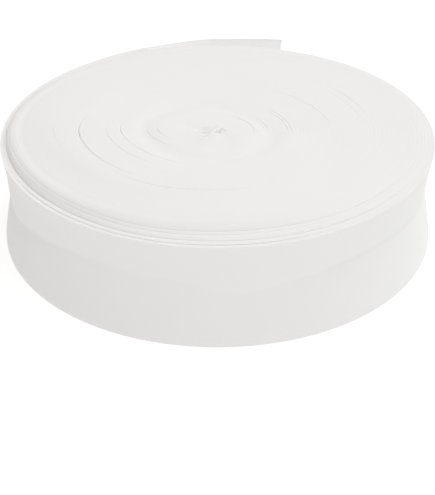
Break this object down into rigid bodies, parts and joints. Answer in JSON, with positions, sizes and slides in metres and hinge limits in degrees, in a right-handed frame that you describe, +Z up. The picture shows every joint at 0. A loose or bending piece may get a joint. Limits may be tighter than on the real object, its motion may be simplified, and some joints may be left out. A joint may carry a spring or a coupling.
{
  "type": "roll of bias tape",
  "caption": "Flat roll of wide white folded bias tape, wound on itself without a core, with its loose end standing off one side.",
  "frame": {"origin": "on the surface that the roll lies on, under the middle of its footprint", "axes": "+Z up along the roll's axis, +X the way that the loose end points, +Y towards the side that the loose end stands off"},
  "size_m": [0.1032, 0.105, 0.0258],
  "materials": {
    "wound_tape": "matt white plain-weave cloth, pressed into folds",
    "loose_tape": "matt white plain-weave cloth, pressed into folds"
  },
  "bodies": {
    "root": {"roll": "wound_tape", "loose_end": "loose_tape"}
  },
  "joints": []
}
